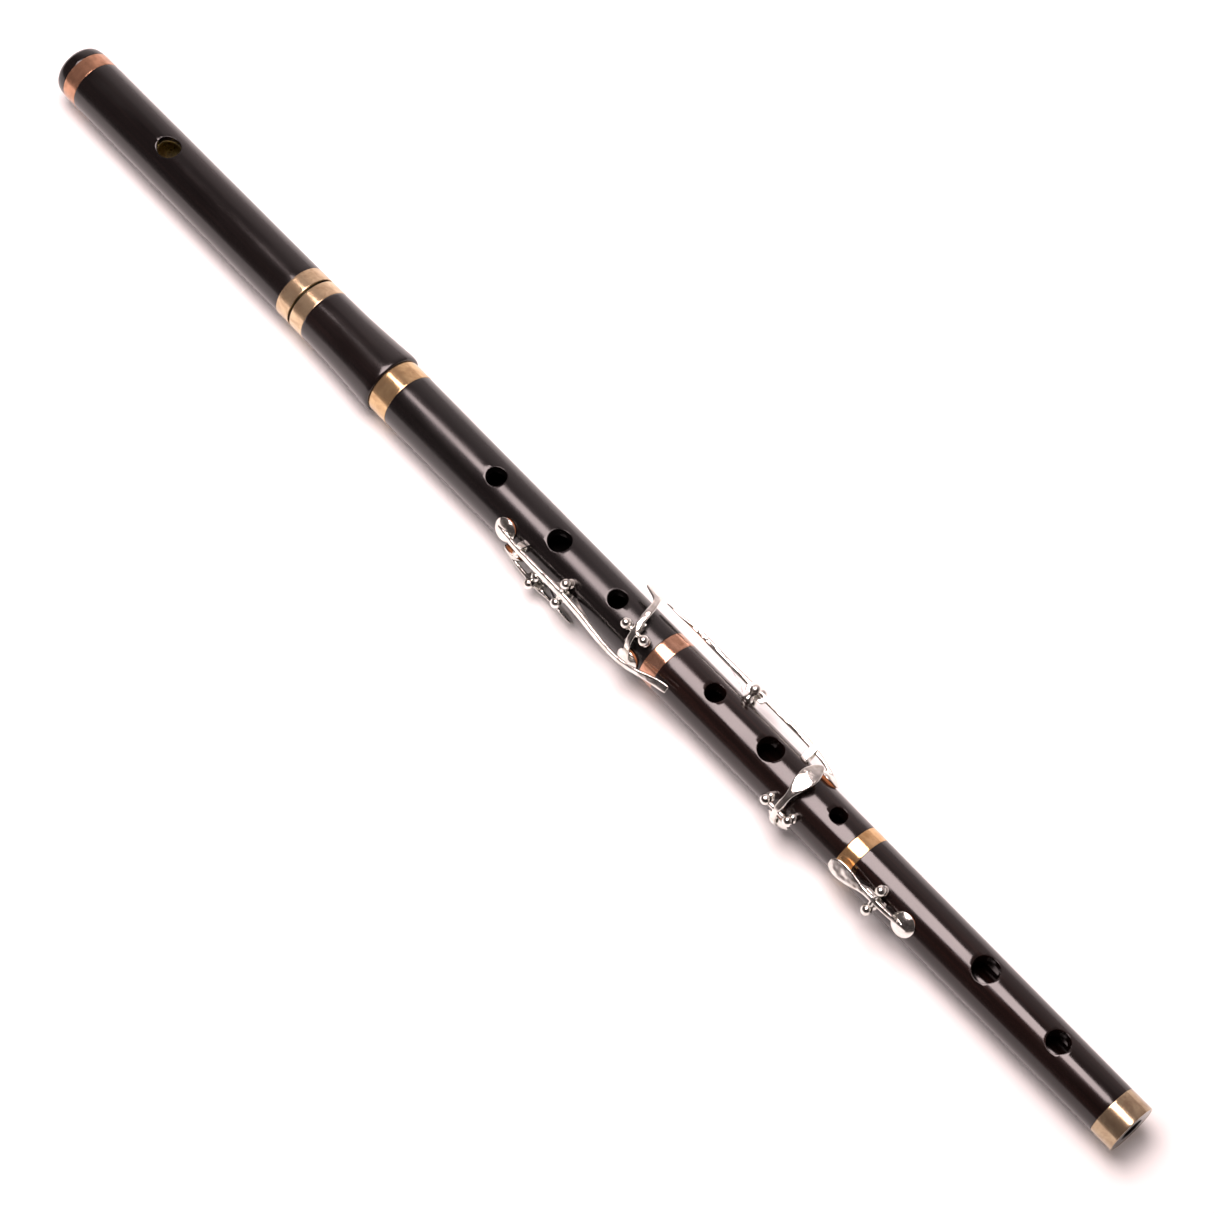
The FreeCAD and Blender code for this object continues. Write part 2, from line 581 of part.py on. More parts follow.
def keys():
    c_r = left_r(C_CUP[0])
    save_posts("c_key", C_PIVOT, False, left_r)
    guide("c_key_guide", C_GUIDE, left_r(C_GUIDE[0]))
    save_key("c_key", C_PIVOT, False, C_CUP, c_r, [
        (311.0, -59.5, c_r + 2.45, 1.0, 0.6),
        (315.0, -60.0, c_r + 2.95, 2.0, 1.3),
        (325.6, -60.0, 16.9, 3.0, 2.1),
        (339.4, -59.5, 17.3, 3.4, 2.3),
        (353.1, -58.5, 17.6, 3.4, 2.4),
        (364.9, -59.5, 18.2, 3.2, 2.2),
        (377.3, -61.5, 19.4, 3.0, 1.9),
        (386.7, -61.8, 20.2, 2.6, 1.6),
        (397.2, -58.5, 20.1, 2.6, 1.5),
        (405.0, -53.0, 19.1, 3.1, 1.4),
        (411.9, -48.0, 18.3, 4.0, 1.1),
        (416.7, -45.5, 18.1, 3.3, 0.8),
    ], [(369.4, -60.0, 17.0), (364.8, -59.3, 15.8), (360.7, -58.8, 14.5), (358.7, -58.5, 13.6)])

    bb_r = left_r(BB_CUP[0])
    save_posts("bb_key", BB_PIVOT, False, left_r)
    save_key("bb_key", BB_PIVOT, False, BB_CUP, bb_r, [
        (316.5, -122.0, bb_r + 2.55, 1.2, 0.6),
        (320.0, -122.0, bb_r + 2.95, 2.1, 1.3),
        (327.0, -122.0, 16.9, 2.3, 1.7),
        (335.4, -122.0, 17.4, 2.7, 2.2),
        (343.1, -122.0, 17.2, 3.9, 1.5),
        (349.2, -122.0, 16.8, 7.3, 1.1),
        (354.7, -122.0, 17.0, 8.1, 1.0),
        (359.7, -122.0, 17.7, 4.4, 0.7),
    ], [(349.2, -122.0, 16.2), (346.2, -122.0, 15.2), (343.7, -122.0, 14.4), (342.2, -122.0, 13.6)])

    gs_r = left_r(GS_CUP[0])
    save_posts("g_sharp_key", GS_PIVOT, True, left_r)
    save_key("g_sharp_key", GS_PIVOT, True, GS_CUP, gs_r, [
        (392.3, -74.5, gs_r + 2.55, 1.4, 0.5),
        (392.0, -67.0, gs_r + 2.75, 2.6, 0.9),
        (391.2, -50.0, 15.9, 3.0, 1.3),
        (390.0, -34.0, 17.0, 3.1, 1.8),
        (389.5, -20.5, 17.5, 3.2, 2.3),
        (388.0, 0.0, 18.0, 3.2, 1.6),
        (386.6, 20.0, 18.4, 3.2, 1.4),
        (384.4, 34.0, 18.6, 4.0, 1.2),
        (381.0, 42.0, 18.8, 9.3, 1.1),
        (379.8, 50.0, 18.9, 8.9, 1.0),
        (378.8, 56.0, 19.0, 3.6, 0.6),
    ], [(386.8, 14.0, 17.6), (387.4, 5.0, 16.3), (387.7, -2.0, 14.8), (387.8, -6.0, 13.4)])

    lf_r = right_r(LF_CUP[0])
    save_posts("long_f_key", LF_PIVOT, False, right_r)
    guide("long_f_key_guide", LF_GUIDE, right_r(LF_GUIDE[0]))
    save_key("long_f_key", LF_PIVOT, False, LF_CUP, lf_r, [
        (385.6, 70.0, 17.3, 3.3, 0.7),
        (389.6, 70.0, 17.5, 5.8, 1.0),
        (394.0, 70.0, 17.6, 5.2, 1.2),
        (399.5, 70.0, 18.1, 2.5, 1.9),
        (413.3, 70.0, 18.2, 2.3, 2.5),
        (440.4, 70.0, 18.0, 2.5, 2.6),
        (462.2, 70.0, 17.9, 2.3, 2.5),
        (474.6, 70.0, 17.5, 2.3, 2.3),
        (481.5, 70.0, 16.5, 2.2, 1.7),
        (486.8, 70.0, lf_r + 2.95, 1.9, 1.2),
        (490.2, 70.0, lf_r + 2.45, 0.9, 0.6),
    ], [(424.1, 70.0, 16.9), (429.0, 70.0, 15.8), (432.9, 70.0, 14.5), (435.3, 70.0, 13.3)])

    sf_r = right_r(SF_CUP[0])
    save_posts("short_f_key", SF_PIVOT, True, right_r)
    save_key("short_f_key", SF_PIVOT, True, SF_CUP, sf_r, [
        (485.3, -105.0, sf_r + 2.45, 1.5, 0.6),
        (485.2, -98.0, sf_r + 2.95, 2.5, 1.2),
        (485.0, -81.0, 16.7, 2.9, 1.7),
        (484.7, -57.0, 17.2, 3.1, 2.3),
        (485.0, -40.0, 17.5, 3.2, 1.8),
        (485.1, -23.0, 17.8, 3.8, 1.5),
        (485.1, -13.0, 18.0, 5.8, 1.3),
        (485.1, -2.5, 18.2, 7.6, 1.2),
        (485.1, 9.0, 18.4, 8.3, 1.1),
        (485.1, 18.0, 18.6, 7.2, 1.0),
        (485.1, 27.0, 18.8, 4.6, 0.9),
        (485.1, 34.0, 19.0, 1.5, 0.7),
    ], [(485.1, -19.0, 16.9), (485.0, -28.0, 15.7), (484.8, -36.0, 14.2), (484.7, -41.0, 12.9)])

    eb_r = foot_r(EB_CUP[0])
    save_posts("eb_key", EB_PIVOT, False, foot_r)
    save_key("eb_key", EB_PIVOT, False, EB_CUP, eb_r, [
        (515.2, -53.5, 17.1, 3.2, 0.7),
        (518.3, -53.2, 17.0, 7.2, 1.1),
        (522.6, -52.6, 16.9, 7.7, 1.2),
        (527.8, -51.5, 16.8, 5.6, 1.3),
        (533.1, -50.2, 16.6, 2.9, 1.6),
        (539.2, -49.0, 16.6, 2.5, 2.2),
        (546.4, -50.0, 16.0, 2.4, 1.7),
        (552.0, -51.2, eb_r + 2.95, 2.1, 1.2),
        (556.2, -51.5, eb_r + 2.45, 1.1, 0.6),
    ], [(527.6, -51.5, 15.9), (530.4, -50.8, 14.8), (532.7, -50.2, 13.5), (534.0, -50.0, 12.6)])


def main():
    os.makedirs(OUT, exist_ok=True)
    head_pieces()
    crown_pieces()
    barrel_pieces()
    left_pieces()
    right_pieces()
    foot_pieces()
    keys()
    low = min(box.YMin for box in BOXES.values())
    high = max(box.YMax for box in BOXES.values())
    print(f"{len(BOXES)} nodes, Y {low:.3f} to {high:.3f}")


main()
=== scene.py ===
import math

import bmesh
import bpy
from mathutils import Matrix, Vector


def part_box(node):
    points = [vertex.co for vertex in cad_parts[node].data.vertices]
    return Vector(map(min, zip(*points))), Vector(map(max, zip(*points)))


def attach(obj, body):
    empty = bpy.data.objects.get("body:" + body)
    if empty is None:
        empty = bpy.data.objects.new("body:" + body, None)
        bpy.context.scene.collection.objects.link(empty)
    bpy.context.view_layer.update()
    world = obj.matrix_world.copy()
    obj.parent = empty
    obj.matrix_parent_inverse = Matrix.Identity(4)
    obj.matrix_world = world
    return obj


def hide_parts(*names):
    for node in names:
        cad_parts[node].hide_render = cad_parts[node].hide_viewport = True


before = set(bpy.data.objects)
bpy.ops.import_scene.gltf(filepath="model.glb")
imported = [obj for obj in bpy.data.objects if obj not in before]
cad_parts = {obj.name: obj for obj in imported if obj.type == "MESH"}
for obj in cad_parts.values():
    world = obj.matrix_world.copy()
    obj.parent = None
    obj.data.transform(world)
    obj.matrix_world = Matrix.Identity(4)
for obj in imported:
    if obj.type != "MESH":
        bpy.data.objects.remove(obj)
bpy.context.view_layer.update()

# Looks of a six-key wooden concert flute. Shapes are made in the flute's own millimetres: X is the
# station, which is 5.8 at the crown ring's edge, Y and Z are measured from the centre line, and a turn
# about the flute is in degrees from straight up, positive towards +Y. put() moves a finished shape
# to the flute's place in the frame.

MM = 0.001


# ---- Places read from the frame -----------------------------------------------------------


def middle(node):
    low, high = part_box(node)
    return (low + high) / 2


CROWN_TOP = 5.8        # station of the crown ring's edge
ORIGIN = Vector((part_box("crown_ring")[0].x - CROWN_TOP * MM, middle("barrel").y, middle("barrel").z))


def span(node):
    """First and last station of a node that lies round the centre line."""
    low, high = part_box(node)
    return (low.x - ORIGIN.x) / MM, (high.x - ORIGIN.x) / MM


def reach(node):
    """Outer radius of a node that lies round the centre line."""
    low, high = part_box(node)
    return (high.z - low.z) / 2 / MM


def place_of(node):
    """Station, turn and height above the centre line of a node's middle."""
    at = (middle(node) - ORIGIN) / MM
    return at.x, math.degrees(math.atan2(at.y, at.z)), math.hypot(at.y, at.z)


CROWN_RING = span("crown_ring")
HEAD_RING = span("head_ring")
BARREL_RING = span("barrel_ring")
BARREL_END = span("barrel")[1]
LEFT_RING = span("left_hand_ring")
RIGHT_RING = span("right_hand_ring")
FOOT_RING = span("foot_ring")
END_RING = span("foot_end_ring")
LEFT_SPAN = span("left_hand_joint")
RIGHT_SPAN = span("right_hand_joint")
LENGTH = END_RING[1]

# Radii of the wood, and of what is inside it
CROWN_R = reach("crown_ring") - 0.05
HEAD_END_R = reach("head_ring") - 0.05
BARREL_TOP_R = reach("barrel_ring") - 0.05
LEFT_RING_R = reach("left_hand_ring")
LEFT_TOP_R = LEFT_RING_R - 0.2
LEFT_END_R = reach("right_hand_ring")
RIGHT_END_R = 12.3
FOOT_TOP_R = reach("foot_ring") - 0.05
FOOT_END_R = reach("foot_end_ring") - 0.05
RING_T = 0.9
LINER_R = reach("head_liner")
SLIDE_R = reach("barrel_liner")
LEFT_BORE = (9.2, 7.2)     # at the joint's top and end
RIGHT_BORE_END = 6.0
FOOT_BORE = 5.4
PEG_BORE = 32.0            # length of the straight bore at the foot's end
UPPER_TENON_R = reach("upper_tenon_cork")
MIDDLE_TENON_R = reach("middle_tenon_cork")
LOWER_TENON_R = reach("lower_tenon_cork")
CORK_T = 0.8
BARREL_STEP = span("barrel_liner")[1]
SEAM = 0.03            # hidden room between two pieces of one body
LAPPING_PLAY = 0.05    # room round a tenon's cork in its socket
SOCKET_PLAY = 0.4      # room past a tenon's end in its socket
LINER_T = 0.8
PLUG_CORK_T = 0.9

# Tone holes: station, turn, radius
LEFT_HOLES = [(294.7, 0.0, 4.6), (335.5, 0.0, 5.3), (372.2, 0.0, 4.4)]
RIGHT_HOLES = [(430.7, 7.0, 4.5), (464.3, 7.0, 5.75), (503.8, 9.5, 3.8)]
FOOT_HOLES = [(589.7, 2.5, 5.85), (629.7, 3.0, 5.1)]
EMBOUCHURE = (69.5, 5.9, 5.3)          # station, half its length, half its width
KEY_HOLE_R = 3.5
SEAT_R = 5.2
HOLE_FLOOR = 3.0       # height above the centre line where hole cutters start, inside the bore
CUTTER_RISE = 3.0      # how far cutters stand out of the wood

# Keys: body, body of their posts, distance between the posts, whether the posts stand along the flute
KEYS = {
    "c_key": ("left_hand", 11.2, False),
    "bb_key": ("left_hand", 11.2, False),
    "g_sharp_key": ("left_hand", 10.8, True),
    "long_f_key": ("right_hand", 11.1, False),
    "short_f_key": ("right_hand", 12.9, True),
    "eb_key": ("foot", 10.9, False),
}
BALL_R = 2.45
BEAD_R = 2.3
BEAD_RISE = 0.9
WAIST_R = 1.35
PAD_R = 4.95
CUP_INNER_R = 5.1

SIDES = 144            # points round the wood and rings
EASE = 0.38            # rounding of the tone holes' rims


# ---- Mesh helpers -------------------------------------------------------------------------


def rounded(corners, steps=5):
    """Outline through (x, y, rounding) corners, each turned on a small curve."""
    out = []
    for i, (x, y, ease) in enumerate(corners):
        here = Vector((x, y))
        if not ease:
            out.append((x, y))
            continue
        back = Vector(corners[i - 1][:2])
        ahead = Vector(corners[(i + 1) % len(corners)][:2])
        start = here + (back - here).normalized() * ease
        end = here + (ahead - here).normalized() * ease
        for k in range(steps + 1):
            t = k / steps
            out.append(tuple(start * (1 - t) ** 2 + here * 2 * t * (1 - t) + end * t**2))
    return out


def divided(outline, longest):
    """The same closed outline with its long runs divided evenly."""
    out = []
    for i, (x, y) in enumerate(outline):
        x2, y2 = outline[(i + 1) % len(outline)]
        parts = max(1, math.ceil(math.hypot(x2 - x, y2 - y) / longest))
        for k in range(parts):
            out.append((x + (x2 - x) * k / parts, y + (y2 - y) * k / parts))
    return out


def through(points, steps=6):
    """Smooth open curve through 2-D points."""
    out = []
    for i in range(len(points) - 1):
        p0 = Vector(points[max(i - 1, 0)])
        p1 = Vector(points[i])
        p2 = Vector(points[i + 1])
        p3 = Vector(points[min(i + 2, len(points) - 1)])
        for k in range(steps):
            t = k / steps
            a = 2 * p1 + (p2 - p0) * t
            b = (2 * p0 - 5 * p1 + 4 * p2 - p3) * t**2
            c = (3 * p1 - p0 - 3 * p2 + p3) * t**3
            out.append(tuple((a + b + c) / 2))
    out.append(tuple(points[-1]))
    return out


def spun(outline, sides):
    """Closed mesh of revolution about Z from a closed (radius, height) outline."""
    mesh = bmesh.new()
    rings = []
    for r, z in outline:
        ring = []
        for k in range(sides):
            a = 2 * math.pi * k / sides
            ring.append(mesh.verts.new((r * math.cos(a), r * math.sin(a), z)))
        rings.append(ring)
    hollow = max(outline[0][0], outline[-1][0]) > 1e-6
    skin(mesh, rings, loop=hollow)
    bmesh.ops.remove_doubles(mesh, verts=mesh.verts, dist=1e-5)
    bmesh.ops.recalc_face_normals(mesh, faces=mesh.faces)
    return mesh


def skin(mesh, rings, loop):
    """Faces between following rings of vertices, and from the last to the first if loop."""
    pairs = list(zip(rings, rings[1:]))
    if loop:
        pairs.append((rings[-1], rings[0]))
    for low, high in pairs:
        for k in range(len(low)):
            n = (k + 1) % len(low)
            mesh.faces.new((low[k], low[n], high[n], high[k]))


def along_flute(mesh):
    """Turns a mesh spun about Z so that its height runs along the flute."""
    bmesh.ops.transform(mesh, matrix=Matrix.Rotation(math.pi / 2, 4, "Y"), verts=mesh.verts)
    return mesh


def spin(turn):
    return Matrix.Rotation(-math.radians(turn), 4, "X")


def standing(mesh, s, turn):
    """Moves a mesh made at the top of the flute to a station and turn."""
    bmesh.ops.transform(mesh, matrix=spin(turn) @ Matrix.Translation((s, 0, 0)), verts=mesh.verts)
    return mesh


def as_object(name, *meshes):
    """One object, in flute millimetres, from one or several meshes, which are used up."""
    data = bpy.data.meshes.new(name)
    whole = bmesh.new()
    for mesh in meshes:
        part = bpy.data.meshes.new("part")
        mesh.to_mesh(part)
        mesh.free()
        whole.from_mesh(part)
        bpy.data.meshes.remove(part)
    whole.to_mesh(data)
    whole.free()
    piece = bpy.data.objects.new(name, data)
    bpy.context.scene.collection.objects.link(piece)
    return piece


def settled(piece):
    """Applies a piece's modifiers."""
    bpy.context.view_layer.update()
    graph = bpy.context.evaluated_depsgraph_get()
    data = bpy.data.meshes.new_from_object(piece.evaluated_get(graph))
    piece.modifiers.clear()
    old = piece.data
    piece.data = data
    bpy.data.meshes.remove(old)
    return piece


def cut(piece, *meshes):
    """Takes closed cutter meshes out of a piece."""
    cutter = as_object("cutter", *meshes)
    boolean = piece.modifiers.new("cut", "BOOLEAN")
    boolean.operation = "DIFFERENCE"
    boolean.solver = "EXACT"
    boolean.object = cutter
    settled(piece)
    bpy.data.objects.remove(cutter)
    return piece


def put(piece, body, slot, material, *nodes, sharp=38.0):
    """Moves a finished piece into the frame, gives it its finish and body, and hides the CAD nodes that it
    replaces.
    """
    piece.data.transform(Matrix.Translation(ORIGIN) @ Matrix.Scale(MM, 4))
    piece.data.materials.clear()
    piece.data.materials.append(material)
    piece.data.shade_smooth()
    piece.data.set_sharp_from_angle(angle=math.radians(sharp))
    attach(piece, body)
    if nodes:
        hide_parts(*nodes)
    return piece


def turned(name, outline, longest=2.5, sides=SIDES):
    """Object of revolution about the centre line from a closed (station, radius) outline."""
    return as_object(name, along_flute(spun([(r, s) for s, r in divided(outline, longest)], sides)))


def softened(name, node, voxel, rounds):
    """A node's shape with its joins filleted and its edges worn round."""
    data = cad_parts[node].data.copy()
    data.transform(Matrix.Scale(1 / MM, 4) @ Matrix.Translation(-ORIGIN))
    piece = bpy.data.objects.new(name, data)
    bpy.context.scene.collection.objects.link(piece)
    remesh = piece.modifiers.new("remesh", "REMESH")
    remesh.mode = "VOXEL"
    remesh.voxel_size = voxel
    smooth = piece.modifiers.new("smooth", "SMOOTH")
    smooth.factor = 0.5
    smooth.iterations = rounds
    return settled(piece)


# ---- Materials ----------------------------------------------------------------------------


class Paint:
    """A node material being built: its tree, and short ways to add nodes to it."""

    def __init__(self, name):
        self.material = bpy.data.materials.new(name)
        self.material.use_nodes = True
        self.tree = self.material.node_tree
        self.shader = self.tree.nodes["Principled BSDF"]
        self.where = self.tree.nodes.new("ShaderNodeTexCoord").outputs["Object"]

    def link(self, out, into):
        self.tree.links.new(out, into)

    def noise(self, scale, detail=4.0, rough=0.55, distortion=0.0):
        """Noise whose scale along X, Y and Z is in cells per metre."""
        mapping = self.tree.nodes.new("ShaderNodeMapping")
        mapping.inputs["Scale"].default_value = scale
        self.link(self.where, mapping.inputs["Vector"])
        node = self.tree.nodes.new("ShaderNodeTexNoise")
        node.inputs["Scale"].default_value = 1.0
        node.inputs["Detail"].default_value = detail
        node.inputs["Roughness"].default_value = rough
        node.inputs["Distortion"].default_value = distortion
        self.link(mapping.outputs["Vector"], node.inputs["Vector"])
        return node.outputs["Fac"]

    def ramp(self, value, stops):
        """Colours at positions along a value."""
        node = self.tree.nodes.new("ShaderNodeValToRGB")
        elements = node.color_ramp.elements
        while len(elements) < len(stops):
            elements.new(0.5)
        for element, (at, colour) in zip(elements, stops):
            element.position = at
            element.color = (*colour, 1.0)
        self.link(value, node.inputs["Fac"])
        return node.outputs["Color"]

    def spread(self, value, low, high, first=0.3, last=0.7):
        """A value between first and last taken to the range from low to high."""
        node = self.tree.nodes.new("ShaderNodeMapRange")
        node.inputs["From Min"].default_value = first
        node.inputs["From Max"].default_value = last
        node.inputs["To Min"].default_value = low
        node.inputs["To Max"].default_value = high
        self.link(value, node.inputs["Value"])
        return node.outputs["Result"]

    def mixed(self, share, one, other, mode="MIX"):
        node = self.tree.nodes.new("ShaderNodeMix")
        node.data_type = "RGBA"
        node.blend_type = mode
        if isinstance(share, float):
            node.inputs["Factor"].default_value = share
        else:
            self.link(share, node.inputs["Factor"])
        for socket, colour in ((node.inputs["A"], one), (node.inputs["B"], other)):
            if isinstance(colour, tuple):
                socket.default_value = (*colour, 1.0)
            else:
                self.link(colour, socket)
        return node.outputs["Result"]

    def bump(self, *heights):
        """Bumps from (value, strength, depth in metres), each over the last."""
        normal = None
        for value, strength, depth in heights:
            node = self.tree.nodes.new("ShaderNodeBump")
            node.inputs["Strength"].default_value = strength
            node.inputs["Distance"].default_value = depth
            self.link(value, node.inputs["Height"])
            if normal is not None:
                self.link(normal, node.inputs["Normal"])
            normal = node.outputs["Normal"]
        self.link(normal, self.shader.inputs["Normal"])

    def set(self, **values):
        for name, value in values.items():
            socket = self.shader.inputs[name.replace("_", " ")]
            if isinstance(value, bpy.types.NodeSocket):
                self.link(value, socket)
            elif isinstance(value, tuple):
                socket.default_value = (*value, 1.0)
            else:
                socket.default_value = value


def wood(name, black, brown, streaks, smooth):
    """Turned and oiled blackwood: fine lengthwise grain, short pores and a dull polish."""
    paint = Paint(name)
    grain = paint.noise((9.0, 620.0, 620.0), detail=7.0, rough=0.62, distortion=0.6)
    figure = paint.noise((5.0, 75.0, 75.0), detail=3.0, distortion=1.2)
    pores = paint.noise((130.0, 4200.0, 4200.0), detail=2.0)
    handled = paint.noise((28.0, 90.0, 90.0), detail=3.0)
    base = paint.ramp(grain, [(0.30, black), (0.52, brown), (0.74, streaks)])
    shade = paint.ramp(figure, [(0.3, (0.45, 0.45, 0.45)), (0.7, (1.0, 1.0, 1.0))])
    base = paint.mixed(0.8, base, shade, "MULTIPLY")
    pitted = paint.spread(pores, 0.0, 0.75, 0.60, 0.72)
    base = paint.mixed(pitted, base, tuple(0.35 * c for c in black))
    paint.set(
        Base_Color=base,
        Roughness=paint.spread(handled, smooth - 0.05, smooth + 0.07),
        IOR=1.5,
        Specular_IOR_Level=0.55,
    )
    paint.bump(
        (figure, 0.25, 0.00020),
        (grain, 0.22, 0.00004),
        (pores, 0.18, 0.00002),
    )
    return paint.material


BARE_METAL = 0.85        # share of a ring's face that shows through its tarnish


def bronze(name, bright, dull, polish):
    """Ring metal, brushed round the flute and browned by handling."""
    paint = Paint(name)
    brushed = paint.noise((5200.0, 50.0, 50.0), detail=3.0)
    stain = paint.noise((190.0, 260.0, 260.0), detail=5.0, rough=0.6, distortion=0.4)
    spots = paint.noise((900.0, 900.0, 900.0), detail=2.0)
    base = paint.ramp(stain, [(0.34, dull), (0.62, bright)])
    lines = paint.ramp(brushed, [(0.35, (0.86, 0.86, 0.86)), (0.65, (1.0, 1.0, 1.0))])
    base = paint.mixed(0.7, base, lines, "MULTIPLY")
    spotted = paint.spread(spots, 0.0, 0.4, 0.64, 0.78)
    base = paint.mixed(spotted, base, tuple(0.45 * c for c in dull))
    paint.set(
        Base_Color=base,
        Metallic=BARE_METAL,
        Roughness=paint.spread(stain, polish + 0.08, polish - 0.03),
    )
    paint.bump((brushed, 0.10, 0.000012), (stain, 0.12, 0.00006))
    return paint.material


def silver(name, bright, dull, polish):
    """Polished nickel silver with a warm tarnish and hairline scratches."""
    paint = Paint(name)
    tarnish = paint.noise((240.0, 240.0, 240.0), detail=5.0, rough=0.6)
    hairs = paint.noise((500.0, 5000.0, 5000.0), detail=2.0, distortion=0.8)
    wear = paint.noise((1100.0, 1100.0, 1100.0), detail=3.0)
    filed = paint.noise((190.0, 190.0, 190.0), detail=1.0)
    base = paint.ramp(tarnish, [(0.32, dull), (0.60, bright)])
    paint.set(
        Base_Color=base,
        Metallic=1.0,
        Roughness=paint.spread(wear, polish - 0.03, polish + 0.08),
    )
    paint.bump((filed, 1.0, 0.0006), (hairs, 0.08, 0.00001), (wear, 0.06, 0.00002))
    return paint.material


def leather(name):
    """Orange-brown kid leather, creased finely."""
    paint = Paint(name)
    creases = paint.noise((1500.0, 1500.0, 1500.0), detail=5.0, rough=0.65)
    patch = paint.noise((260.0, 260.0, 260.0), detail=2.0)
    base = paint.ramp(creases, [(0.30, (0.22, 0.055, 0.014)), (0.62, (0.56, 0.19, 0.055))])
    base = paint.mixed(paint.spread(patch, 0.0, 0.45), base, (0.66, 0.28, 0.10))
    paint.set(Base_Color=base, Roughness=0.62, Sheen_Weight=0.15)
    paint.bump((creases, 0.45, 0.00012))
    return paint.material


def cork(name):
    """Sheet cork: pale, with dark lenticels."""
    paint = Paint(name)
    cells = paint.noise((900.0, 900.0, 900.0), detail=6.0, rough=0.7)
    dark = paint.noise((320.0, 1300.0, 1300.0), detail=2.0)
    base = paint.ramp(cells, [(0.3, (0.30, 0.15, 0.06)), (0.7, (0.62, 0.40, 0.20))])
    base = paint.mixed(paint.spread(dark, 0.0, 0.8, 0.62, 0.74), base, (0.12, 0.05, 0.02))
    paint.set(Base_Color=base, Roughness=0.85)
    paint.bump((cells, 0.5, 0.0002), (dark, 0.4, 0.0002))
    return paint.material


def steel(name):
    """Blued spring steel and turned screws, finely scratched."""
    paint = Paint(name)
    scratch = paint.noise((700.0, 4000.0, 4000.0), detail=3.0)
    bluing = paint.noise((350.0, 350.0, 350.0), detail=3.0)
    base = paint.ramp(bluing, [(0.3, (0.16, 0.16, 0.19)), (0.65, (0.46, 0.43, 0.40))])
    paint.set(Base_Color=base, Metallic=1.0, Roughness=paint.spread(scratch, 0.22, 0.42))
    paint.bump((scratch, 0.15, 0.00002))
    return paint.material


HEAD_WOOD = wood(
    "head_wood", (0.0034, 0.0027, 0.0027), (0.0062, 0.0044, 0.0043),
    (0.0120, 0.0080, 0.0075), 0.17,
)
BARREL_WOOD = wood(
    "barrel_wood", (0.0038, 0.0027, 0.0027), (0.0072, 0.0046, 0.0044),
    (0.0140, 0.0085, 0.0078), 0.17,
)
LEFT_WOOD = wood(
    "left_wood", (0.0034, 0.0028, 0.0029), (0.0060, 0.0046, 0.0047),
    (0.0115, 0.0085, 0.0085), 0.20,
)
RIGHT_WOOD = wood(
    "right_wood", (0.0042, 0.0024, 0.0021), (0.0105, 0.0050, 0.0042),
    (0.0260, 0.0105, 0.0080), 0.155,
)
FOOT_WOOD = wood(
    "foot_wood", (0.0040, 0.0022, 0.0020), (0.0100, 0.0045, 0.0038),
    (0.0240, 0.0095, 0.0070), 0.145,
)
CROWN_BRONZE = bronze("crown_bronze", (0.60, 0.32, 0.20), (0.38, 0.20, 0.12), 0.20)
HEAD_BRONZE = bronze("head_bronze", (0.72, 0.56, 0.36), (0.50, 0.36, 0.22), 0.17)
TOP_BRONZE = bronze("top_bronze", (0.70, 0.50, 0.27), (0.50, 0.33, 0.17), 0.12)
COPPER = bronze("red_bronze", (0.60, 0.34, 0.23), (0.40, 0.21, 0.13), 0.11)
GOLD_BRONZE = bronze("gold_bronze", (0.84, 0.56, 0.29), (0.60, 0.36, 0.16), 0.11)
OLD_BRONZE = bronze("old_bronze", (0.54, 0.43, 0.28), (0.35, 0.25, 0.16), 0.15)
SILVER = silver("key_silver", (0.88, 0.88, 0.84), (0.68, 0.66, 0.60), 0.15)
SLIDE_METAL = bronze("slide_metal", (0.72, 0.65, 0.38), (0.48, 0.40, 0.22), 0.28)
LEATHER = leather("pad_leather")
CORK = cork("tenon_cork")
STEEL = steel("spring_steel")


# ---- Wood ---------------------------------------------------------------------------------


def level(s, start, end):
    """Radius at a station on the straight taper between two (station, radius) points."""
    return start[1] + (end[1] - start[1]) * (s - start[0]) / (end[0] - start[0])


def left_r(s):
    return level(s, (LEFT_RING[1], LEFT_TOP_R), (RIGHT_RING[0], LEFT_END_R))


def right_r(s):
    return level(s, (RIGHT_RING[0], LEFT_END_R), (FOOT_RING[0], RIGHT_END_R))


def foot_r(s):
    return level(s, (FOOT_RING[0], FOOT_TOP_R), (LENGTH, FOOT_END_R))


WOOD_R = {"left_hand": left_r, "right_hand": right_r, "foot": foot_r}


def tone_hole(s, turn, along, across, wood_r):
    """Cutter of a tone hole whose rim is eased all round, following the wood's curve."""
    rings = [(0.0, None), (0.0, EASE)]
    for degrees in (15, 30, 45, 60):
        t = math.radians(degrees)
        rings.append((EASE * (1 - math.cos(t)), EASE * (1 - math.sin(t))))
    grow, depth = rings[-1]
    run = EASE * 0.8
    rings.append((grow + run * math.sin(math.radians(60)), depth - run * math.cos(math.radians(60))))
    rings.append((rings[-1][0], -CUTTER_RISE))
    mesh = bmesh.new()
    made = []
    points = 64
    for grow, depth in rings:
        ring = []
        for k in range(points):
            a = 2 * math.pi * k / points
            x = (along + grow) * math.cos(a)
            y = (across + grow) * math.sin(a)
            z = HOLE_FLOOR if depth is None else math.sqrt(wood_r**2 - y**2) - depth
            ring.append(mesh.verts.new((x, y, z)))
        made.append(ring)
    skin(mesh, made, loop=False)
    mesh.faces.new(made[0])
    mesh.faces.new(made[-1])
    bmesh.ops.recalc_face_normals(mesh, faces=mesh.faces)
    return standing(mesh, s, turn)


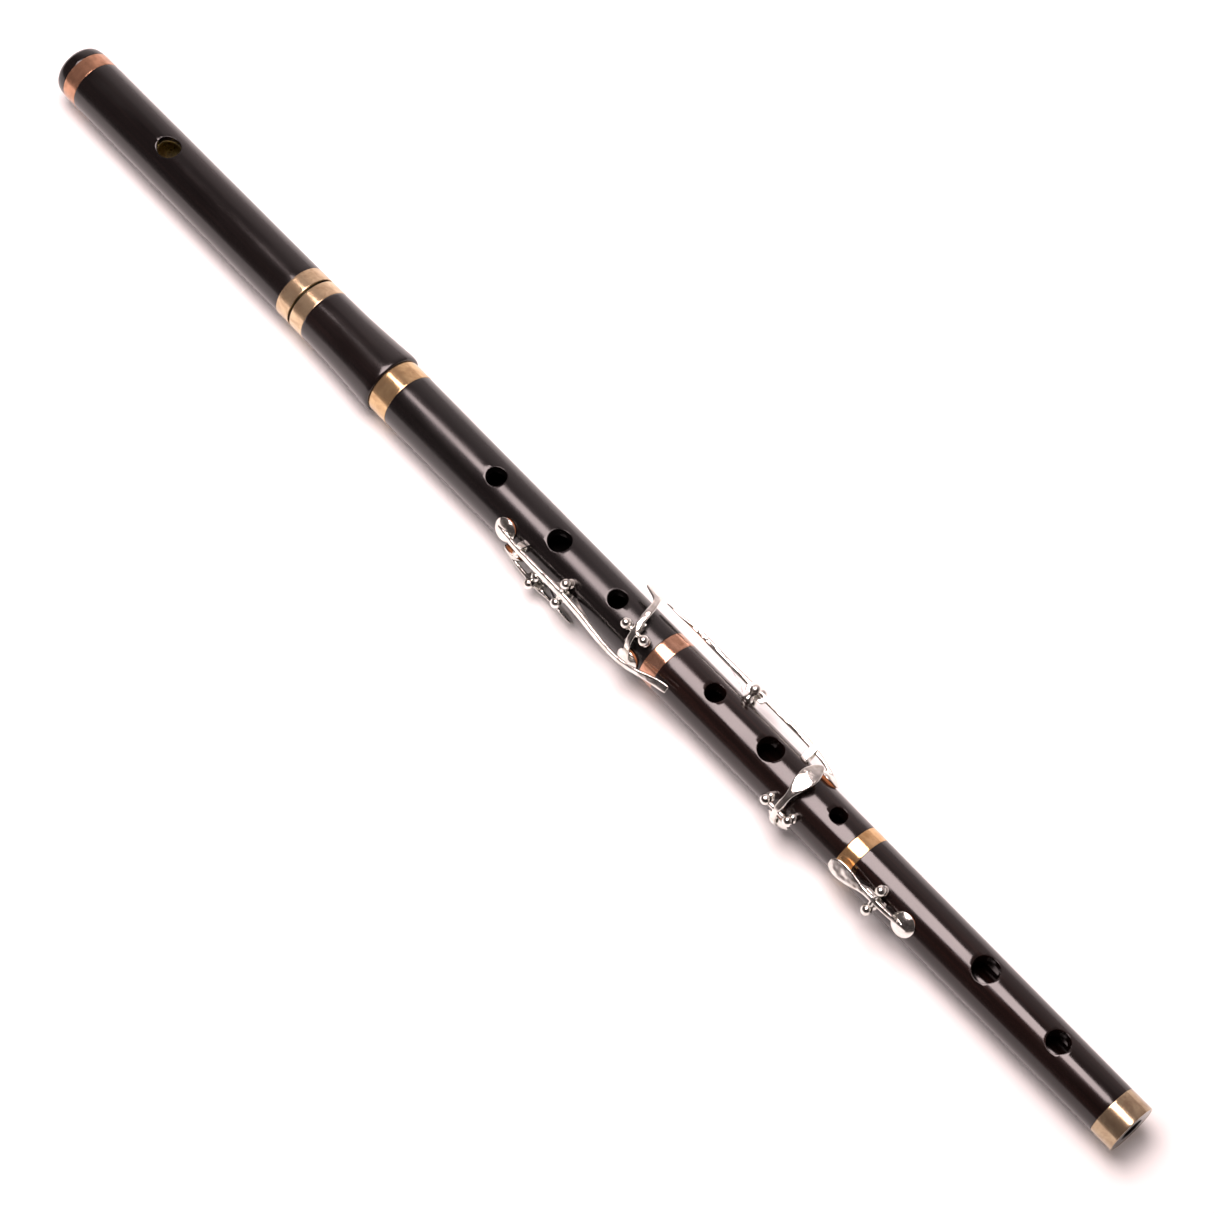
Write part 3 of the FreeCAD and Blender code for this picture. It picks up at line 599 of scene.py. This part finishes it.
def key_seat(s, turn, wood_r):
    """Cutter of a pad's flat seat with the key's own tone hole in it."""
    floor = math.sqrt(wood_r**2 - SEAT_R**2)
    outline = [
        (0, HOLE_FLOOR), (KEY_HOLE_R, HOLE_FLOOR), (KEY_HOLE_R, floor - 0.3), (KEY_HOLE_R + 0.25, floor),
        (SEAT_R, floor), (SEAT_R, wood_r + CUTTER_RISE), (0, wood_r + CUTTER_RISE),
    ]
    return standing(spun(outline, 64), s, turn)


def seats(*names):
    out = []
    for name in names:
        s, turn, _ = place_of(name + "_pad")
        out.append(key_seat(s, turn, WOOD_R[KEYS[name][0]](s)))
    return out


def head():
    """Head joint with the embouchure, under its two rings."""
    top = CROWN_RING[0]
    wood = turned("head_joint_wood", rounded([
        (top, LINER_R + SEAM, 0),
        (top, CROWN_R - RING_T - SEAM, 0.1),
        (CROWN_RING[1], CROWN_R - RING_T - SEAM, 0),
        (CROWN_RING[1] + SEAM, CROWN_R, 0.12),
        (HEAD_RING[0] - SEAM, HEAD_END_R, 0.12),
        (HEAD_RING[0], HEAD_END_R - RING_T - SEAM, 0),
        (HEAD_RING[1], HEAD_END_R - RING_T - SEAM, 0.1),
        (HEAD_RING[1], LINER_R + SEAM, 0),
    ]))
    s, along, across = EMBOUCHURE
    wood_r = level(s, (CROWN_RING[1], CROWN_R), (HEAD_RING[0], HEAD_END_R))
    cut(wood, tone_hole(s, 0.0, along, across, wood_r))
    put(wood, "head", "blackwood", HEAD_WOOD, "head_joint")


def crown():
    """Domed end cap and its plug."""
    end = CROWN_RING[0] - 0.1
    edge_r = CROWN_R - 0.1
    tip = span("head_crown")[0]
    face = [(tip, 0.0), (tip + 0.05, 3.6), (tip + 0.4, 7.0), (tip + 1.3, 10.2)]
    dome = through(face + [(0.6, 12.1), (2.8, 12.8), (end - 0.5, edge_r)], 8)
    plug_r = LINER_R - LINER_T - PLUG_CORK_T
    plug_end = span("head_crown")[1]
    outline = dome + rounded([
        (end, edge_r - 0.1, 0.1), (end, plug_r, 0), (plug_end, plug_r, 0.4), (plug_end, 0.0, 0),
    ])
    piece = as_object("crown_cap", along_flute(spun([(r, s) for s, r in divided(outline, 1.5)], SIDES)))
    put(piece, "crown", "blackwood", HEAD_WOOD, "head_crown")


# (station, radius) along the barrel's swell and round its lip
BARREL_SWELL = [(192.0, 13.6), (206.5, 14.25), (217.5, 14.9)]
BARREL_LIP = [(217.5, 14.9), (220.6, 15.08), (222.6, 15.13), (223.9, 14.97)]


def barrel():
    """Barrel, which swells to a rounded lip."""
    start, ring_end = BARREL_RING
    swell = through([(ring_end + 0.15, BARREL_TOP_R)] + BARREL_SWELL, 10)
    lip = through(BARREL_LIP + [(BARREL_END - 0.1, 14.6)], 6)
    outline = swell[:-1] + lip + rounded([
        (BARREL_END, 14.45, 0),
        (BARREL_END, UPPER_TENON_R + LAPPING_PLAY, 0.3),
        (BARREL_STEP, UPPER_TENON_R + LAPPING_PLAY, 0),
        (BARREL_STEP, SLIDE_R + SEAM, 0),
        (start, SLIDE_R + SEAM, 0),
        (start, BARREL_TOP_R - RING_T - SEAM, 0.1),
        (ring_end, BARREL_TOP_R - RING_T - SEAM, 0),
        (ring_end, BARREL_TOP_R - 0.12, 0),
    ])
    put(turned("barrel_wood", outline, 1.5), "barrel", "blackwood", BARREL_WOOD, "barrel")


def tenon(root, end, outer, corks):
    """Corners of a tenon from its root to its end, with the cork's groove."""
    plain = outer - 0.15
    groove = outer - CORK_T - SEAM
    return [
        (root, plain, 0.2), (corks[0], plain, 0), (corks[0], groove, 0),
        (corks[1], groove, 0), (corks[1], plain, 0), (end, plain, 0.4),
    ]


def left_hand():
    """Left-hand joint between its two tenons."""
    top, low = LEFT_SPAN
    root = LEFT_RING[0]
    end = RIGHT_RING[0] - 0.1
    corks = span("upper_tenon_cork")
    upper = tenon(root, top, UPPER_TENON_R, corks[::-1])
    lower = tenon(end, low, MIDDLE_TENON_R, span("middle_tenon_cork"))
    outline = rounded(upper[::-1] + [
        (root, LEFT_RING_R - RING_T - SEAM, 0.1),
        (LEFT_RING[1], LEFT_RING_R - RING_T - SEAM, 0),
        (LEFT_RING[1] + SEAM, LEFT_TOP_R, 0.12),
        (end, LEFT_END_R, 0.15),
    ] + lower + [
        (low, LEFT_BORE[1], 0.3),
        (top, LEFT_BORE[0], 0.3),
    ])
    piece = turned("left_hand_wood", outline)
    cutters = [tone_hole(s, turn, r, r, left_r(s)) for s, turn, r in LEFT_HOLES]
    cut(piece, *cutters, *seats("c_key", "bb_key", "g_sharp_key"))
    put(piece, "left_hand", "blackwood", LEFT_WOOD, "left_hand_joint")


def right_hand():
    """Right-hand joint: socket above, tenon below."""
    start, low = RIGHT_SPAN
    end = FOOT_RING[0] - 0.1
    socket = LEFT_SPAN[1] + SOCKET_PLAY
    lower = tenon(end, low, LOWER_TENON_R, span("lower_tenon_cork"))
    outline = rounded([
        (start, MIDDLE_TENON_R + LAPPING_PLAY, 0.3),
        (start, LEFT_END_R - RING_T - SEAM, 0.1),
        (RIGHT_RING[1], LEFT_END_R - RING_T - SEAM, 0),
        (RIGHT_RING[1] + SEAM, right_r(RIGHT_RING[1]), 0.12),
        (end, RIGHT_END_R, 0.15),
    ] + lower + [
        (low, RIGHT_BORE_END, 0.3),
        (socket, LEFT_BORE[1], 0),
        (socket, MIDDLE_TENON_R + LAPPING_PLAY, 0),
    ])
    piece = turned("right_hand_wood", outline)
    cutters = [tone_hole(s, turn, r, r, right_r(s)) for s, turn, r in RIGHT_HOLES]
    cut(piece, *cutters, *seats("long_f_key", "short_f_key"))
    put(piece, "right_hand", "blackwood", RIGHT_WOOD, "right_hand_joint")


def foot():
    """Foot joint with its two open vents."""
    start = FOOT_RING[0]
    socket = RIGHT_SPAN[1] + SOCKET_PLAY
    outline = rounded([
        (start, LOWER_TENON_R + LAPPING_PLAY, 0.3),
        (start, FOOT_TOP_R - RING_T - SEAM, 0.1),
        (FOOT_RING[1], FOOT_TOP_R - RING_T - SEAM, 0),
        (FOOT_RING[1] + SEAM, foot_r(FOOT_RING[1]), 0.12),
        (END_RING[0] - SEAM, foot_r(END_RING[0]), 0.12),
        (END_RING[0], FOOT_END_R - RING_T - SEAM, 0),
        (LENGTH - 0.05, FOOT_END_R - RING_T - SEAM, 0.1),
        (LENGTH - 0.05, FOOT_BORE, 0.35),
        (LENGTH - PEG_BORE, FOOT_BORE, 0),
        (socket, RIGHT_BORE_END, 0),
        (socket, LOWER_TENON_R + LAPPING_PLAY, 0),
    ])
    piece = turned("foot_wood", outline)
    cutters = [tone_hole(s, turn, r, r, foot_r(s)) for s, turn, r in FOOT_HOLES]
    cut(piece, *cutters, *seats("eb_key"))
    put(piece, "foot", "blackwood", FOOT_WOOD, "foot_joint")


# ---- Rings --------------------------------------------------------------------------------


def ring(node, body, material, edge=0.2, crown_rise=0.02):
    """Metal ring: rounded edges, and a face very slightly crowned."""
    start, end = span(node)
    outer = reach(node)
    inner = outer - RING_T
    half = (start + end) / 2
    outline = rounded([
        (start, inner, 0.1),
        (start, outer - crown_rise, edge),
        (half, outer, 0),
        (end, outer - crown_rise, edge),
        (end, inner, 0.1),
    ], 6)
    piece = turned(node + "_metal", outline, 0.8)
    put(piece, body, "ring_bronze", material, node, sharp=60.0)


def rings():
    ring("crown_ring", "head", CROWN_BRONZE)
    ring("head_ring", "head", HEAD_BRONZE)
    ring("barrel_ring", "barrel", HEAD_BRONZE)
    ring("left_hand_ring", "left_hand", TOP_BRONZE, 0.3)
    ring("right_hand_ring", "right_hand", COPPER)
    ring("foot_ring", "foot", GOLD_BRONZE)
    ring("foot_end_ring", "foot", OLD_BRONZE, 0.3)


# ---- Keywork ------------------------------------------------------------------------------


def pivot_of(name):
    """Station, turn, height, ball spacing and whether its posts stand along the flute."""
    _, apart, along = KEYS[name]
    return (*place_of(name + "_pivot"), apart, along)


def post_places(name):
    """(station, turn, ball height) of a key's two posts."""
    s, turn, height, apart, along = pivot_of(name)
    if along:
        return [(s - apart / 2, turn, height), (s + apart / 2, turn, height)]
    lean = math.degrees(math.atan2(apart / 2, height))
    ball = math.hypot(apart / 2, height)
    return [(s, turn - lean, ball), (s, turn + lean, ball)]


def arc(centre, radius, start, end, steps):
    """(radius, height) points round a circle on the axis, from one elevation to another."""
    out = []
    for k in range(steps + 1):
        a = math.radians(start + (end - start) * k / steps)
        out.append((radius * math.cos(a), centre + radius * math.sin(a)))
    return out


def post(place, wood_r):
    """Turned post: bead on the wood, neck and ball."""
    s, turn, ball = place
    bead = wood_r + BEAD_RISE
    low = arc(bead, BEAD_R, -34, 50, 14)
    high = arc(ball, BALL_R, -51, 90, 22)
    waist = (WAIST_R, (low[-1][1] + high[0][1]) / 2)
    outline = [(0.0, low[0][1])] + low + [waist] + high
    return standing(spun(outline, 40), s, turn)


def posts(name):
    body = KEYS[name][0]
    wood_r = WOOD_R[body]
    made = [post(place, wood_r(place[0])) for place in post_places(name)]
    put(as_object(name + "_post_pair", *made), body, "nickel_silver", SILVER, name + "_posts", sharp=60.0)


def screw(name):
    """Pivot screw: a rod through both balls, with a slotted head on one and a point on the other."""
    s, turn, height, apart, along = pivot_of(name)
    end = apart / 2 + BALL_R + 0.02
    outline = rounded([
        (0.0, -end - 0.02, 0), (0.75, -end + 0.12, 0.2), (0.6, -end + 0.5, 0),
        (0.6, end - 0.75, 0), (1.05, end - 0.75, 0), (1.05, end, 0.22), (0.0, end + 0.05, 0),
    ], 3)
    piece = as_object(name + "_pivot_screw", spun(outline, 32))
    slot = bmesh.new()
    bmesh.ops.create_cube(slot, size=1.0)
    bmesh.ops.scale(slot, vec=(0.34, 3.0, 0.9), verts=slot.verts)
    bmesh.ops.rotate(slot, matrix=Matrix.Rotation(math.radians(35), 3, "Z"), verts=slot.verts)
    bmesh.ops.translate(slot, vec=(0, 0, end + 0.1), verts=slot.verts)
    cut(piece, slot)
    lay = Matrix.Rotation(math.pi / 2, 4, "Y") if along else Matrix.Rotation(math.pi / 2, 4, "X")
    piece.data.transform(spin(turn) @ Matrix.Translation((s, 0, height)) @ lay)
    put(piece, KEYS[name][0], "spring_steel", STEEL, name + "_pivot")


def pad(name):
    """Leather pad: flat on its seat, bulging below the cup's rim."""
    s, turn, _ = place_of(name + "_pad")
    wood_r = WOOD_R[KEYS[name][0]](s)
    floor = math.sqrt(wood_r**2 - SEAT_R**2) + 0.08
    rim = wood_r + 0.45
    side = through([
        (PAD_R - 1.3, floor), (PAD_R - 0.45, floor + 0.12), (PAD_R - 0.02, floor + 0.62), (PAD_R, rim - 0.35),
        (CUP_INNER_R - 0.05, rim + 0.1), (CUP_INNER_R - 0.04, wood_r + 0.93),
    ], 4)
    outline = [(0.0, floor + 0.06), (2.2, floor + 0.03)] + side + [(0.0, wood_r + 1.86)]
    piece = as_object(name + "_leather_pad", standing(spun(divided(outline, 0.7), 72), s, turn))
    put(piece, name, "pad_leather", LEATHER, name + "_pad", sharp=50.0)


def keys():
    for name in KEYS:
        posts(name)
        screw(name)
        pad(name)
        lever = softened(name + "_touch_and_cup", name + "_lever", 0.2, 5)
        put(lever, name, "nickel_silver", SILVER, name + "_lever", sharp=180.0)
    for name in ("c_key", "long_f_key"):
        saddle = softened(name + "_saddle", name + "_guide", 0.12, 4)
        put(saddle, KEYS[name][0], "nickel_silver", SILVER, name + "_guide", sharp=180.0)


# ---- CAD nodes that stay ------------------------------------------------------------------


def carried():
    """Nodes that keep their CAD shape and get a finish."""
    kept = {
        CORK: ("crown_cork", "stopper_cork", "upper_tenon_cork", "middle_tenon_cork", "lower_tenon_cork"),
        SLIDE_METAL: ("head_liner", "barrel_liner", "stopper_plate"),
        STEEL: tuple(name + "_spring" for name in KEYS),
    }
    for material, nodes in kept.items():
        for node in nodes:
            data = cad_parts[node].data
            data.materials.clear()
            data.materials.append(material)


# ---- Stage, light and camera --------------------------------------------------------------


FLOOR_R = 14.0


def stage():
    """Pale floor under the flute."""
    mesh = bmesh.new()
    bmesh.ops.create_circle(mesh, cap_ends=True, segments=96, radius=FLOOR_R)
    data = bpy.data.meshes.new("floor")
    mesh.to_mesh(data)
    mesh.free()
    floor = bpy.data.objects.new("floor", data)
    bpy.context.scene.collection.objects.link(floor)
    paint = Paint("floor_paper")
    fleck = paint.noise((60.0, 60.0, 60.0), detail=3.0)
    paint.set(
        Base_Color=paint.ramp(fleck, [(0.3, (0.870, 0.895, 0.895)), (0.7, (0.880, 0.905, 0.905))]),
        Roughness=0.85,
        Specular_IOR_Level=0.2,
    )
    floor.data.materials.append(paint.material)


STUDIO_TINT = (1.0, 0.82, 0.81)

# Grey of the surround at turns about the flute
SKY_GREYS = [
    (-180, 0.9), (-93, 0.9), (-88, 0.30), (-80, 0.09), (-60, 0.05), (0, 0.05),
    (28, 0.16), (50, 0.42), (70, 0.50), (88, 0.60), (93, 0.9), (180, 0.9),
]

# Share of a direction that points along X, and the surround's strength there
SKY_HEADWARDS = (-0.6, 1.9)
SKY_FOOTWARDS = (0.0, 0.9)


def sky():
    """Studio surround: white near the floor, dark behind the camera, grey on the far side."""
    world = bpy.data.worlds.new("studio")
    world.use_nodes = True
    tree = world.node_tree
    where = tree.nodes.new("ShaderNodeTexCoord")
    parts = tree.nodes.new("ShaderNodeSeparateXYZ")
    angle = tree.nodes.new("ShaderNodeMath")
    angle.operation = "ARCTAN2"
    share = tree.nodes.new("ShaderNodeMapRange")
    share.inputs["From Min"].default_value = -math.pi
    share.inputs["From Max"].default_value = math.pi
    ramp = tree.nodes.new("ShaderNodeValToRGB")
    background = tree.nodes["Background"]
    tree.links.new(where.outputs["Generated"], parts.inputs["Vector"])
    tree.links.new(parts.outputs["Y"], angle.inputs[0])
    tree.links.new(parts.outputs["Z"], angle.inputs[1])
    tree.links.new(angle.outputs["Value"], share.inputs["Value"])
    headwards = tree.nodes.new("ShaderNodeMapRange")
    headwards.inputs["From Min"].default_value = SKY_HEADWARDS[0]
    headwards.inputs["From Max"].default_value = SKY_FOOTWARDS[0]
    headwards.inputs["To Min"].default_value = SKY_HEADWARDS[1]
    headwards.inputs["To Max"].default_value = SKY_FOOTWARDS[1]
    tree.links.new(share.outputs["Result"], ramp.inputs["Fac"])
    tree.links.new(ramp.outputs["Color"], background.inputs["Color"])
    tree.links.new(parts.outputs["X"], headwards.inputs["Value"])
    tree.links.new(headwards.outputs["Result"], background.inputs["Strength"])
    elements = ramp.color_ramp.elements
    while len(elements) < len(SKY_GREYS):
        elements.new(0.5)
    for element, (turn, grey) in zip(elements, SKY_GREYS):
        element.position = (turn + 180) / 360
        element.color = (*(grey * tint for tint in STUDIO_TINT), 1.0)
    bpy.context.scene.world = world


LIGHT_WAY = 0.5          # turn of the softbox, which hangs nearly overhead
LIGHT_DISTANCE = 1.2
LIGHT_X = -0.164
LIGHT_SIZE = 0.83
LIGHT_POWER = 26.0


def softbox():
    """One large square softbox over the flute, set cornerwise to it."""
    data = bpy.data.lights.new("softbox", "AREA")
    data.shape = "SQUARE"
    data.size = LIGHT_SIZE
    data.energy = LIGHT_POWER
    data.color = STUDIO_TINT
    lamp = bpy.data.objects.new("softbox", data)
    bpy.context.scene.collection.objects.link(lamp)
    turn = math.radians(LIGHT_WAY)
    away = Vector((0, math.sin(turn), math.cos(turn)))
    at = Vector((LIGHT_X, ORIGIN.y, ORIGIN.z)) + away * LIGHT_DISTANCE
    cornerwise = Matrix.Rotation(math.radians(45), 4, "Z")
    lamp.matrix_world = Matrix.Translation(at) @ Matrix.Rotation(-turn, 4, "X") @ cornerwise


FILL_TURN = -60.0
FILL_SIZE = 1.0
FILL_POWER = 5.5


def fill():
    """Weak light from the near side, which lifts the shadow on the floor and shows in no reflection."""
    data = bpy.data.lights.new("fill", "AREA")
    data.shape = "SQUARE"
    data.size = FILL_SIZE
    data.energy = FILL_POWER
    data.color = STUDIO_TINT
    lamp = bpy.data.objects.new("fill", data)
    bpy.context.scene.collection.objects.link(lamp)
    lamp.visible_glossy = False
    turn = math.radians(FILL_TURN)
    away = Vector((0, math.sin(turn), math.cos(turn)))
    lamp.matrix_world = Matrix.Translation(ORIGIN + away * LIGHT_DISTANCE) @ Matrix.Rotation(-turn, 4, "X")


CAMERA_X = 0.4669        # place of the camera along the flute, past its foot
CAMERA_DISTANCE = 1.241
CAMERA_TURN = -18.0
CAMERA_SWING = 19.3      # how far it looks back towards the head
CAMERA_ROLL = 45.25
CAMERA_SIDE = 0.0017     # its small step to the side, so that the flute lies just off the centre
CAMERA_LENS = 92.67
SENSOR = 36.0


def camera():
    """Long lens from above the foot, looking back along the flute, rolled to a diagonal."""
    turn = math.radians(CAMERA_TURN)
    away = Vector((0, math.sin(turn), math.cos(turn)))
    at = Vector((CAMERA_X, ORIGIN.y, ORIGIN.z)) + away * CAMERA_DISTANCE
    swing = math.radians(CAMERA_SWING)
    look = -away * math.cos(swing) + Vector((-math.sin(swing), 0, 0))
    flute = (Vector((1, 0, 0)) - look * look.x).normalized()
    beside = look.cross(flute)
    roll = math.radians(CAMERA_ROLL)
    right = flute * math.cos(roll) - beside * math.sin(roll)
    down = flute * math.sin(roll) + beside * math.cos(roll)
    data = bpy.data.cameras.new("camera")
    data.sensor_width = SENSOR
    data.lens = CAMERA_LENS
    data.clip_start = 0.01
    data.clip_end = 100.0
    view = bpy.data.objects.new("camera", data)
    bpy.context.scene.collection.objects.link(view)
    axes = Matrix((right, -down, -look)).transposed()
    view.matrix_world = Matrix.Translation(at + beside * CAMERA_SIDE) @ axes.to_4x4()
    bpy.context.scene.camera = view


# ---- The whole ----------------------------------------------------------------------------

crown()
head()
barrel()
left_hand()
right_hand()
foot()
rings()
keys()
carried()
stage()
sky()
softbox()
fill()
camera()
bpy.context.scene.view_settings.view_transform = "Standard"
